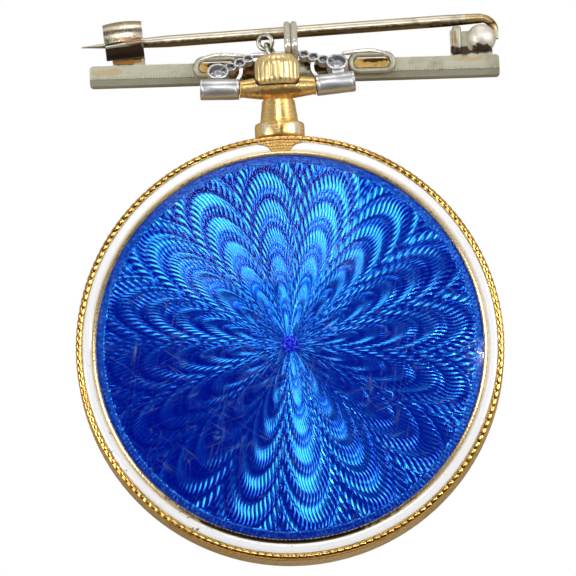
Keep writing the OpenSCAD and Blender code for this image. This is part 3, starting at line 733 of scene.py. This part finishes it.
def engine_turned_ground():
    """The cut ground and its margin; how deep each point lies in its cut is kept for the finish, and so is
    the painted shade of each arch.
    """
    shape = Shape()
    columns = range(3 * GROUND_LINES)
    rings = []
    for row in range(GROUND_ROWS):
        r = GROUND_IN + (GROUND_OUT - GROUND_IN) * row / (GROUND_ROWS - 1)
        scallop = SCALLOP * max(0, row - GROUND_ROWS + 3) / 2
        rings.append([ground_point(r - scallop * SCALLOPED[c % 6], c) for c in columns])
    for row in range(MARGIN_ROWS):
        width = BLUE_R - MARGIN_GAP - GROUND_OUT - MARGIN_GAP
        r = GROUND_OUT + MARGIN_GAP + width * row / (MARGIN_ROWS - 1)
        scallop = SCALLOP * max(0, 2 - row) / 2
        rings.append([margin_point(r - scallop * SCALLOPED[c % 6], c) for c in columns])
    for ring in (rings[-1], rings[0]):
        r = ring[0].xy.length
        foot_z = dome_z(r) - GROUND_FOOT
        rings.append([Vector((p.x, p.y, foot_z)) for p in ring])
    shape.loft(rings, wrap=True)
    piece = make_piece("engine_turned_ground", shape, engine_turned, "watch", flat=True)
    depth = piece.data.attributes.new("cut depth", "FLOAT", "POINT")
    depth.data.foreach_set("value", [float(i % 3 == 2) for i in range(len(shape.points))])
    # Painted shade for the steep side of each arch, kept for the finish
    shade = piece.data.attributes.new("arch shade", "FLOAT", "POINT")
    shade.data.foreach_set("value", [arch_shade(p) for p in shape.points])


def gold_line_bead():
    """The rounded gold line round the blue field, with fine teeth along its inner edge."""
    shape = Shape()
    steps = GROUND_LINES * 4
    rings = []
    top = DOME_EDGE_Z + 0.02
    for step in range(steps):
        tooth = LINE_TOOTH if step % 4 in (1, 2) else 0.0
        section = [(0.05 - tooth, -0.09), (0.05 - tooth, 0.06), (0.07, 0.12), (0.14, 0.1),
                   (0.21, 0.05 + tooth * 0.4), (LINE_W + 0.03, -0.05), (LINE_W + 0.02, -0.1)]
        angle = FULL_TURN * step / steps
        rings.append([polar(BLUE_R + out, angle, top + up) for out, up in section])
    shape.loft(rings, wrap=True)
    make_piece("gold_line_bead", shape, gold_line, "watch")


ROPE_TURNS = 172
ROPE_STEPS = 8
ROPE_SIDES = 14
ROPE_TWIST = 1
ROPE_R = 0.235
ROPE_GROOVE = 0.055
ROPE_C_R = CASE_R - 0.215
ROPE_C_Z = RIM_Z + 0.06


def rope_rim():
    """The milled rope round the rim of the back."""
    shape = Shape()
    rings = []
    for turn in turns(ROPE_TURNS * ROPE_STEPS):
        ring = []
        for around in turns(ROPE_SIDES):
            phase = (ROPE_TURNS * turn + ROPE_TWIST * around) / FULL_TURN % 1
            hollow = 1 - math.sqrt(1 - (2 * phase - 1) ** 2 * 0.98)
            section_r = ROPE_R - ROPE_GROOVE * hollow
            r = ROPE_C_R + section_r * math.cos(around)
            z = ROPE_C_Z + section_r * math.sin(around)
            ring.append(polar(r, turn, z))
        rings.append(ring)
    shape.loft(rings, wrap=True)
    make_piece("rope_rim", shape, gold_rope, "watch", crease_deg=50)


# The crown, the collar and what shows of the barrel
CROWN_ROWS = 22
CROWN_RIBS = 20
RIB_STEPS = 10
RIB_DEPTH = 0.085
RIB_SQUARE = 2.6
crown_axis = about(Vector((0, 0, HINGE.z)), (0, 1, 0))


def crown_radius(y):
    """Radius of the crown over its ribs, rounded off more at its far end than at its foot."""
    share = (y - CROWN_LOW) / (CROWN_HIGH - CROWN_LOW)
    foot = max(0, (0.2 - share) / 0.2)
    head = max(0, (share - 0.6) / 0.4)
    return CROWN_R - 0.24 * foot ** 2 - 0.42 * head ** 2.4


def fluted_crown():
    """The crown with its rounded ribs, and its stem."""
    shape = Shape()
    steps = CROWN_RIBS * RIB_STEPS
    profile = [(STEM_END, STEM_R - 0.04, 0), (STEM_END + 0.06, STEM_R, 0), (CROWN_LOW, STEM_R, 0),
               (CROWN_LOW, CROWN_R - 0.55, 0), (CROWN_LOW + 0.05, CROWN_R - 0.4, 0)]
    for row in range(CROWN_ROWS):
        y = CROWN_LOW + (CROWN_HIGH - CROWN_LOW) * row / (CROWN_ROWS - 1)
        fade = min(1, row / 2, (CROWN_ROWS - 1 - row) / 5)
        profile.append((y, crown_radius(y), RIB_DEPTH * (0.15 + 0.85 * fade)))
    profile += [(CROWN_HIGH - 0.02, CROWN_R - 0.5, 0), (CROWN_HIGH - 0.09, CROWN_R - 0.58, 0),
                (CROWN_HIGH - 0.06, 0.3, 0), (CROWN_HIGH - 0.05, 0.05, 0)]
    rings = []
    for y, r, depth in profile:
        ring = []
        for step in range(steps):
            across = (step % RIB_STEPS) / RIB_STEPS * 2 - 1
            hollow = 1 - (1 - abs(across) ** RIB_SQUARE) ** (1 / RIB_SQUARE)
            ring.append(crown_axis(y, r - depth * hollow, FULL_TURN * step / steps))
        rings.append(ring)
    shape.loft(rings)
    piece = make_piece("fluted_crown", shape, gold_crown, "crown", crease_deg=60)
    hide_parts("crown")


def collar_moulding():
    """A band with rounded corners over the collar."""
    shape = Shape()
    collar = [(15.03, 1.36), (15.03, 1.6), (15.07, 1.69), (15.16, 1.74), (15.3, 1.755), (15.6, 1.75),
              (15.88, 1.75), (16.01, 1.73), (16.09, 1.67), (16.12, 1.58), (16.13, 1.34)]
    shape.turned(collar, crown_axis, 96)
    make_piece("collar_moulding", shape, gold_pendant, "watch")


def barrel_washers():
    """Thin gold washers between the barrel and the knuckles."""
    shape = Shape()
    for side in (-1, 1):
        place = about(HINGE.copy(), (side, 0, 0))
        ring = [(BARREL_HALF - 0.05, 0.45), (BARREL_HALF - 0.05, 0.62), (BARREL_HALF, 0.66),
                (BARREL_HALF + 0.04, 0.62), (BARREL_HALF + 0.05, 0.45)]
        shape.turned(ring, place, 48)
    make_piece("barrel_washers", shape, gold_pendant, "watch")


# The bow
def bow_point(x, y, z=0.0):
    """A point drawn in the bow's own plane, where the bow rests."""
    return Vector((x, HINGE.y + y * math.cos(BOW_DROP) + z * math.sin(BOW_DROP),
                   HINGE.z - y * math.sin(BOW_DROP) + z * math.cos(BOW_DROP)))


BOW_UP = (bow_point(0, 0, 1) - bow_point(0, 0, 0)).normalized()


def arm_point(side, x, y, z=0.0):
    """A point of the right arm, on either side, turned with the arms."""
    off_y = y - ARM_TURN_Y
    return bow_point(side * x * math.cos(ARM_SKEW) - off_y * math.sin(ARM_SKEW),
                     ARM_TURN_Y + side * x * math.sin(ARM_SKEW) + off_y * math.cos(ARM_SKEW), z)


def knuckle_sleeves():
    """Turned sleeves over the two knuckle tubes, each with a raised rim round its end cup."""
    shape = Shape()
    r = KNUCKLE_R
    end = KNUCKLE_LEN
    profile = [(0.0, 0.46), (0.0, r - 0.05), (0.05, r + 0.012), (0.16, r + 0.02), (0.2, r + 0.004),
               (0.24, r + 0.02), (end - 0.22, r + 0.02), (end - 0.18, r + 0.004), (end - 0.14, r + 0.024),
               (end - 0.04, r + 0.02), (end + 0.02, r - 0.04), (end + 0.01, r - 0.16),
               (end - 0.06, r - 0.2), (end - 0.28, r - 0.21), (end - 0.3, 0.46)]
    for side, lean in KNUCKLE_LEAN.items():
        start = bow_point(side * KNUCKLE_X, 0)
        axis = bow_point(side * math.cos(lean), math.sin(lean)) - bow_point(0, 0)
        shape.turned(profile, about(start, axis), 72)
    make_piece("knuckle_sleeves", shape, platinum, "bow")


# The rim round a main stone and round a small one: its height, its wire and how many grains it has
MAIN_RIM = (COLLET_TOP, 0.045, 8)
SMALL_RIM = (ARM_TOP, 0.03, 4)
ARM_BEAD_R = 0.055
ARM_BEAD_OFF = 0.17


def collet_rims():
    """A fine wire round each collet and grains of metal that hold the stones."""
    shape = Shape()
    for side in (-1, 1):
        for x, y, r in COLLETS:
            top, wire, grains = MAIN_RIM if r == MAIN_R else SMALL_RIM
            for face in (-1, 1):
                place = about(arm_point(side, x, y, face * top), BOW_UP)
                shape.tube([place(0, r - wire, a) for a in turns(32)], wire, 8, wrap=True)
                for a in turns(grains):
                    shape.bead(place(0.01 * face, r - 0.1, a + 0.3), 0.075, BOW_UP, 0.8)
    make_piece("collet_rims", shape, platinum, "bow")


def arm_milgrain():
    """Rows of tiny beads along both edges of each arm, between the collets."""
    shape = Shape()
    for side in (-1, 1):
        for here, there in zip(COLLETS, COLLETS[1:]):
            link = Vector((there[0] - here[0], there[1] - here[1], 0))
            across = Vector((-link.y, link.x, 0)).normalized() * ARM_BEAD_OFF
            for share in (0.35, 0.5, 0.65):
                for edge in (-1, 1):
                    x = here[0] + link.x * share + across.x * edge
                    y = here[1] + link.y * share + across.y * edge
                    for face in (-1, 1):
                        shape.bead(arm_point(side, x, y, face * ARM_TOP), ARM_BEAD_R, BOW_UP)
    make_piece("arm_milgrain", shape, platinum, "bow")


# The bail
BAIL_X = 1.08
BAIL_W = 0.94
BAIL_SHEET = 0.25
BAIL_STEPS = 18
PIN_FAR = Vector((12.2, 23.35, 1.05))
BAIL_PIN = (PIN_FAR.y + (BAIL_X - PIN_FAR.x) * PIN_SLOPE, PIN_FAR.z, 0.5)
BAIL_LOW = (21.42, 2.13, 0.27)
BAIL_HIGH = (21.86, 2.88, 0.27)


def bail_point(angle, x, out):
    """A point of the bail in the plane of Y and Z, out from its inner face, seen along X."""
    normal = Vector((0, math.cos(angle), math.sin(angle)))
    y, z, r = max((BAIL_PIN, BAIL_LOW, BAIL_HIGH), key=lambda c: c[0] * normal.y + c[1] * normal.z + c[2])
    return Vector((BAIL_X + x, y, z)) + normal * (r + out)


def ridged_bail():
    """The bail: a bent strip with two rounded ridges and a groove between them."""
    shape = Shape()
    half = BAIL_W / 2
    section = [(-half, 0.05), (-half + 0.04, 0.0), (half - 0.04, 0.0), (half, 0.05)]
    for step in range(BAIL_STEPS + 1):
        x = half - BAIL_W * step / BAIL_STEPS
        ridge = abs(math.sin(FULL_TURN * step / BAIL_STEPS)) ** 0.5
        section.append((x, BAIL_SHEET - 0.15 + 0.19 * ridge))
    rings = [[bail_point(a, x, out) for x, out in section] for a in turns(120)]
    shape.loft(rings, wrap=True)
    piece = make_piece("ridged_bail", shape, silver_rings, "watch", crease_deg=50)
    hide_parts("bail")


# The brooch
def bar_point(along, across, z):
    """A point of the bar: along its length, across its thickness and up."""
    turn = Matrix.Rotation(BAR_TURN, 3, "Z")
    return BAR_AT + turn @ Vector((along, across, z))


def bar_milgrain():
    """A line of beads along the top of the bar, where its bevel begins."""
    shape = Shape()
    count = int((BAR_LEN - 0.4) / BEAD_PITCH)
    for i in range(count):
        along = (i - (count - 1) / 2) * BEAD_PITCH
        shape.bead(bar_point(along, BAR_BEVEL - BAR_T / 2 + 0.02, BAR_W), BEAD_R, flat=0.8)
    make_piece("bar_milgrain", shape, silver_brooch, "brooch")


def ball_cap():
    """The satin ball over the hinge of the pin, with a fine seam where it sits on its ear."""
    shape = Shape()
    place = about(Vector((RIVET.x, RIVET.y, 1.4)), (0, 0, 1))
    profile = [(0.03, BALL_R - 0.1), (0.05, BALL_R + 0.01), (0.1, BALL_R + 0.05)]
    for step in range(1, BALL_ROWS):
        tilt = math.pi / 2 * step / BALL_ROWS
        profile.append((0.1 + (BALL_R - 0.02) * math.sin(tilt), (BALL_R + 0.05) * math.cos(tilt)))
    shape.spun(profile + [(0.08 + BALL_R, 0.02)], place, 64)
    make_piece("ball_cap", shape, silver_ball, "brooch")


# The curl of the catch and its free lip
CATCH_X = -10.7
CATCH_LEN = 2.7
CATCH_TURN = math.radians(4)
CATCH_C = Vector((CATCH_X, 23.05, 0.95))
CATCH_R = 1.25
CATCH_SHEET = 0.1
CATCH_START = math.radians(30)
CATCH_BULGE = 0.14
CATCH_COLUMNS = 28
CATCH_ROWS = 20
LIP_R = 0.17
LIP_STEPS = 24


def catch_point(along, around, r):
    """A point of the curl; around is 0 at its far side and a quarter turn at its top."""
    turn = Matrix.Rotation(CATCH_TURN, 3, "Z")
    return CATCH_C + turn @ Vector((along, r * math.cos(around), r * math.sin(around)))


def catch_fold():
    """The sheet of the catch, folded over its curl and ending in a rounded lip on top."""
    shape = Shape()
    rings = []
    for column in range(CATCH_COLUMNS + 1):
        share = column / CATCH_COLUMNS * 2 - 1
        along = share * (CATCH_LEN / 2 + 0.03)
        stop = math.radians(101 + 4 * share ** 2 + 1.5 * math.sin(5 * share))
        bulge = CATCH_BULGE * (1 - share ** 2)
        outer = []
        inner = []
        for row in range(CATCH_ROWS + 1):
            around = CATCH_START + (stop - CATCH_START) * row / CATCH_ROWS
            lip = 0.05 * math.exp(-((CATCH_ROWS - row) / 1.6) ** 2)
            outer.append(catch_point(along, around, CATCH_R + CATCH_SHEET * 0.6 + bulge + lip))
            inner.append(catch_point(along, around, CATCH_R - 0.02))
        rings.append(outer + inner[::-1])
    shape.loft(rings)
    make_piece("catch_fold", shape, silver_catch, "brooch", crease_deg=50)


def catch_lip():
    """The rolled edge of the catch, which stands out a little below the fold."""
    path = []
    radii = []
    for step in range(LIP_STEPS + 1):
        share = step / LIP_STEPS * 2 - 1
        around = math.radians(111 - 3 * share)
        path.append(catch_point(share * (CATCH_LEN / 2 - 0.02), around, CATCH_R + 0.02))
        radii.append(LIP_R + 0.03 * math.sin(4 * share + 1) - 0.04 * share ** 6)
    shape = Shape()
    shape.tube(path, radii, 16)
    make_piece("catch_lip", shape, silver_lip, "brooch", crease_deg=50)


# The two wire loops on the bar
LOOPS_AT = (-5.45, 5.45)
LOOP_Y = 20.6
LOOP_HALF_W = 1.7
LOOP_HALF_H = 0.8
LOOP_WIRE_Z = 1.95
LOOP_STEPS = 32


def loop_bows():
    """The bowed far side of each loop, thickest in the middle, which runs out along the bar."""
    shape = Shape()
    for middle, longer in zip(LOOPS_AT, (1, -1)):
        path = []
        radii = []
        for step in range(LOOP_STEPS + 1):
            share = step / LOOP_STEPS
            along = (-LOOP_HALF_W + 0.1 + (2 * LOOP_HALF_W + 0.3) * share) * longer
            across = LOOP_HALF_H * math.sin(math.pi * min(0.5, 0.04 + 0.9 * share)) ** 0.6
            across -= 0.35 * max(0, share - 0.5) ** 1.5
            path.append(bar_point(middle + along, LOOP_Y - BAR_AT.y + across, LOOP_WIRE_Z))
            radii.append(0.11 + 0.09 * math.sin(math.pi * share) ** 0.7)
        shape.tube(path, radii, 14)
    make_piece("loop_bows", shape, silver_rings, "brooch", crease_deg=50)


# The upright plate beside the ball
POST_AT = (12.77, 21.84)
POST_HALF = (0.34, 1.0)
POST_SQUARE = 0.35
POST_ROWS = ((0.4, 0.05), (0.46, 0.0), (1.72, 0.0), (1.86, 0.06), (1.92, 0.16))


def post_plate():
    """A plate with a rounded top, that reaches close under the pin."""
    shape = Shape()
    rings = []
    for z, inset in POST_ROWS:
        ring = []
        for a in turns(40):
            sides = [math.copysign(abs(c) ** POST_SQUARE, c) for c in (math.cos(a), math.sin(a))]
            x, y = [at + side * (half - inset) for at, side, half in zip(POST_AT, sides, POST_HALF)]
            ring.append(Vector((x, y, z)))
        rings.append(ring)
    shape.loft(rings)
    make_piece("post_plate", shape, silver_brooch, "brooch", crease_deg=50)


# Rows of beads: distance from the axis, half angle in degrees, radius of a bead and height
CUSP_ROWS = ((14.8, 6.6, 0.12, 5.98), (14.56, 4.8, 0.11, 6.04), (14.33, 3.4, 0.1, 6.06),
             (14.13, 2.8, 0.09, 6.06))


def cusp_beads():
    """Rows of small beads on the gold point, below the collar."""
    shape = Shape()
    for r, half_deg, radius, z in CUSP_ROWS:
        count = int(2 * math.radians(half_deg) * r / (radius * 2.1))
        for i in range(count + 1):
            angle = math.pi / 2 + math.radians(half_deg) * (2 * i / count - 1)
            shape.bead(polar(r, angle, z), radius)
    make_piece("cusp_beads", shape, gold_beads, "watch")


# The dial's print, read from below: twelve hours in Roman figures and a minute track
DIAL_FACE = node_box("dial")[0].z
PRINT_H = 0.02
FIGURES = "I II III IIII V VI VII VIII IX X XI XII".split()
FIGURE_R = 8.9
FIGURE_H = 1.7
TRACK_R = 11.45
HOUR_TICK = (0.75, 0.16)
MINUTE_TICK = (0.45, 0.06)
STROKES = {
    "I": (0.42, [(0, 0, 0, 1, 0.2)]),
    "V": (0.95, [(-0.33, 1, 0, 0, 0.22), (0.33, 1, 0, 0, 0.1)]),
    "X": (0.95, [(-0.33, 1, 0.33, 0, 0.22), (0.33, 1, -0.33, 0, 0.1)]),
}


def dial_point(angle, right, out):
    """A point on the face of the dial, as someone looking at the hands reads it."""
    outward = Vector((-math.sin(angle), math.cos(angle), 0))
    rightward = Vector((-math.cos(angle), -math.sin(angle), 0))
    return outward * out + rightward * right + Vector((0, 0, DIAL_FACE))


def add_stroke(shape, angle, start, end, width):
    """A straight printed stroke between two (right, out) points."""
    along = Vector(end) - Vector(start)
    across = Vector((-along.y, along.x)).normalized() * width / 2
    corners = [Vector(start) - across, Vector(end) - across, Vector(end) + across, Vector(start) + across]
    printed = [dial_point(angle, c.x, c.y) for c in corners]
    shape.loft([printed, [p - Vector((0, 0, PRINT_H)) for p in printed]])


def dial_print():
    """The figures and the minute track."""
    shape = Shape()
    for hour, figure in enumerate(FIGURES, start=1):
        angle = FULL_TURN * hour / 12
        width = sum(STROKES[letter][0] for letter in figure)
        right = -width / 2
        for letter in figure:
            step, strokes = STROKES[letter]
            for x0, y0, x1, y1, w in strokes:
                middle = right + step / 2
                ends = [(middle + x, FIGURE_R + (y - 0.5) * FIGURE_H) for x, y in ((x0, y0), (x1, y1))]
                add_stroke(shape, angle, ends[0], ends[1], w)
            right += step
    for minute in range(60):
        length, width = HOUR_TICK if minute % 5 == 0 else MINUTE_TICK
        add_stroke(shape, FULL_TURN * minute / 60, (0, TRACK_R), (0, TRACK_R - length), width)
    make_piece("dial_print", shape, dial_ink, "watch", flat=True)


for build in (engine_turned_ground, gold_line_bead, rope_rim, fluted_crown, collar_moulding,
              barrel_washers, knuckle_sleeves, collet_rims, arm_milgrain, ridged_bail, bar_milgrain,
              ball_cap, catch_fold, catch_lip, loop_bows, cusp_beads, post_plate, dial_print):
    build()


# The floor, the camera and the light
CAMERA_AT = Vector((0.055, 4.18, 6.0))
CAMERA_RISE = math.radians(82)
CAMERA_ROLL = math.radians(2.7)
CAMERA_FAR = 1121
CAMERA_LENS = 1000
LIGHT_FAR_M = 1.5
FLOOR_RADIUS = 600
FLOOR_HOLE = 12
FLOOR_DROP = 0.02
FLOOR_SIDES = 64


def floor_finish():
    """Pale paper: white to the camera, a warm grey in what the metal reflects, and clear from below."""
    finish, tree, paint = new_finish("floor paper", Roughness=0.9)
    paper = finish.node_tree.nodes["Principled BSDF"]
    fibres = tree.noise(tree.place_mm(), 0.02)
    paint("Base Color", tree.mix(fibres, (0.4, 0.35, 0.27), (0.46, 0.4, 0.32)))
    glow = tree.add("ShaderNodeEmission", {"Strength": 1.0})
    seen = tree.add("ShaderNodeLightPath").outputs["Is Camera Ray"]
    both = tree.add("ShaderNodeMixShader", {0: seen, 1: paper.outputs[0], 2: glow.outputs[0]})
    from_below = tree.add("ShaderNodeNewGeometry").outputs["Backfacing"]
    clear = tree.add("ShaderNodeBsdfTransparent")
    one_sided = tree.add("ShaderNodeMixShader", {0: from_below, 1: both.outputs[0], 2: clear.outputs[0]})
    tree.put(finish.node_tree.nodes["Material Output"].inputs["Surface"], one_sided.outputs[0])
    return finish


def floor():
    """A sheet with a hole hidden under the watch glass, which lets light reach the dial."""
    mesh = bpy.data.meshes.new("floor")
    corners = [polar(r, a, -FLOOR_DROP) * MM for r in (FLOOR_RADIUS, FLOOR_HOLE) for a in turns(FLOOR_SIDES)]
    ring = [(i, (i + 1) % FLOOR_SIDES) for i in range(FLOOR_SIDES)]
    mesh.from_pydata(corners, [], [(a, b, FLOOR_SIDES + b, FLOOR_SIDES + a) for a, b in ring])
    mesh.materials.append(floor_finish())
    put_in_scene("floor", mesh)


def facing(back, right):
    """The turn of a camera or a lamp whose back and right side point these ways."""
    return Matrix((right, back.cross(right), back)).transposed().to_4x4()


def camera():
    """A long lens, a little to the near side of straight above."""
    data = bpy.data.cameras.new("camera")
    data.lens = CAMERA_LENS
    data.clip_start = 0.01
    data.clip_end = 10
    viewer = put_in_scene("camera", data)
    back = Vector((0, -math.cos(CAMERA_RISE), math.sin(CAMERA_RISE)))
    up = Vector((math.sin(CAMERA_ROLL), math.cos(CAMERA_ROLL), 0))
    right = up.cross(back).normalized()
    viewer.matrix_world = Matrix.Translation((CAMERA_AT + back * CAMERA_FAR) * MM) @ facing(back, right)
    bpy.context.scene.camera = viewer


def softbox(name, turn_deg, tilt_deg, size, radiance, aim=(0, 0, 0)):
    """An area light that faces a point from a direction; turn is from +X and tilt from straight up."""
    data = bpy.data.lights.new(name, "AREA")
    data.shape = "RECTANGLE"
    data.size, data.size_y = size
    data.energy = 4 * radiance * size[0] * size[1]
    turn, tilt = math.radians(turn_deg), math.radians(tilt_deg)
    back = Vector((math.sin(tilt) * math.cos(turn), math.sin(tilt) * math.sin(turn), math.cos(tilt)))
    right = Vector((-math.sin(turn), math.cos(turn), 0))
    lamp = put_in_scene(name, data)
    lamp.matrix_world = Matrix.Translation(Vector(aim) * MM + back * LIGHT_FAR_M) @ facing(back, right)


def studio():
    """Softboxes at the sides and the far side, a small window, and a room that only glows low down."""
    softbox("left softbox", 190, 52, (0.7, 0.75), 5)
    softbox("right softbox", 8, 52, (0.7, 0.75), 5.4)
    softbox("far softbox", 96, 24, (0.6, 0.42), 5.2)
    softbox("far strip", 90, 73, (0.6, 0.4), 3)
    softbox("window", 11.8, 23.8, (0.09, 0.012), 500, (13.4, -1.9, 6.2))
    world = bpy.data.worlds.new("studio")
    world.use_nodes = True
    bpy.context.scene.world = world
    tree = Tree(world.node_tree)
    x, y, z = tree.parts(tree.add("ShaderNodeTexCoord").outputs["Generated"])
    aside = tree.math("ABSOLUTE", x)
    overhead = tree.times(tree.spread(z, 0.9, 0.96, 0.0, 0.15), tree.spread(aside, 0.16, 0.05))
    low = tree.spread(z, 0.5, 0.2)
    near = tree.times(tree.spread(y, -0.2, -0.8), tree.spread(z, 0.3, 0.1))
    far_side = tree.times(tree.spread(y, 0.2, 0.9, 0.0, 0.95), low)
    sides = tree.times(tree.spread(aside, 0.3, 1.0, 0.0, 0.25), low)
    glow = tree.plus(tree.plus(overhead, far_side), tree.plus(sides, 0.01))
    glow = tree.plus(glow, tree.times(near, 1.1))
    seen = tree.add("ShaderNodeLightPath").outputs["Is Camera Ray"]
    tint = tree.mix(near, (1.0, 0.99, 0.97), (1.0, 0.9, 0.72))
    backdrop = world.node_tree.nodes["Background"]
    tree.put(backdrop.inputs["Color"], tree.mix(seen, tint, (1, 1, 1)))
    tree.put(backdrop.inputs["Strength"], tree.math("MAXIMUM", glow, seen))


floor()
camera()
studio()
bpy.context.scene.view_settings.view_transform = "Standard"
